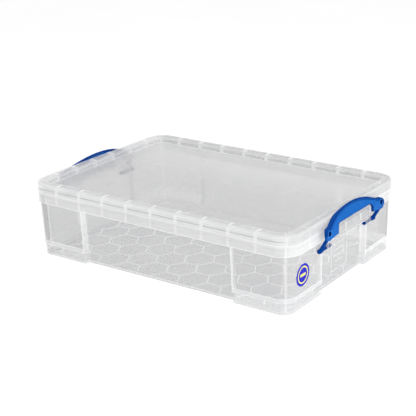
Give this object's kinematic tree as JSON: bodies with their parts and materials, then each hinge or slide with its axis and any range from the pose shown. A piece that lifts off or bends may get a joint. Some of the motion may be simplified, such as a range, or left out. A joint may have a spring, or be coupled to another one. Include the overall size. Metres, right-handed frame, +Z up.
{
  "type": "under bed box",
  "caption": "Low, clear plastic under-bed storage box with a clip-on recessed lid, recessed walls between corner posts, and a blue swing handle at each short end.",
  "frame": {"origin": "middle of the footprint, on the floor under the box", "axes": "+Z up, +X towards the short end that carries the round label, +Y along the box's width"},
  "size_m": [0.707, 0.4402, 0.172],
  "materials": {
    "clear_plastic": "clear polypropylene, lightly frosted, glossy outside",
    "clear_plastic_lid": "clear polypropylene with a finely frosted deck",
    "blue_plastic": "opaque blue moulded plastic, satin gloss",
    "label": "printed self-adhesive film, blue with a plain yellow ring"
  },
  "bodies": {
    "tub": {"tub": "clear_plastic", "round_label": "label"},
    "lid": {"lid": "clear_plastic_lid"},
    "handle_right": {"handle_right": "blue_plastic"},
    "handle_left": {"handle_left": "blue_plastic"}
  },
  "joints": [
    {"name": "lid_lift", "type": "slide", "parent": "tub", "child": "lid", "axis": [0, 0, 1], "range_m": [0, 0.2]},
    {"name": "handle_right_hinge", "type": "hinge", "parent": "tub", "child": "handle_right", "pos_m": [0.3312, 0, 0.102], "axis": [0, 1, 0], "range_deg": [0, 145]},
    {"name": "handle_left_hinge", "type": "hinge", "parent": "tub", "child": "handle_left", "pos_m": [-0.3312, 0, 0.102], "axis": [0, -1, 0], "range_deg": [0, 145]}
  ]
}
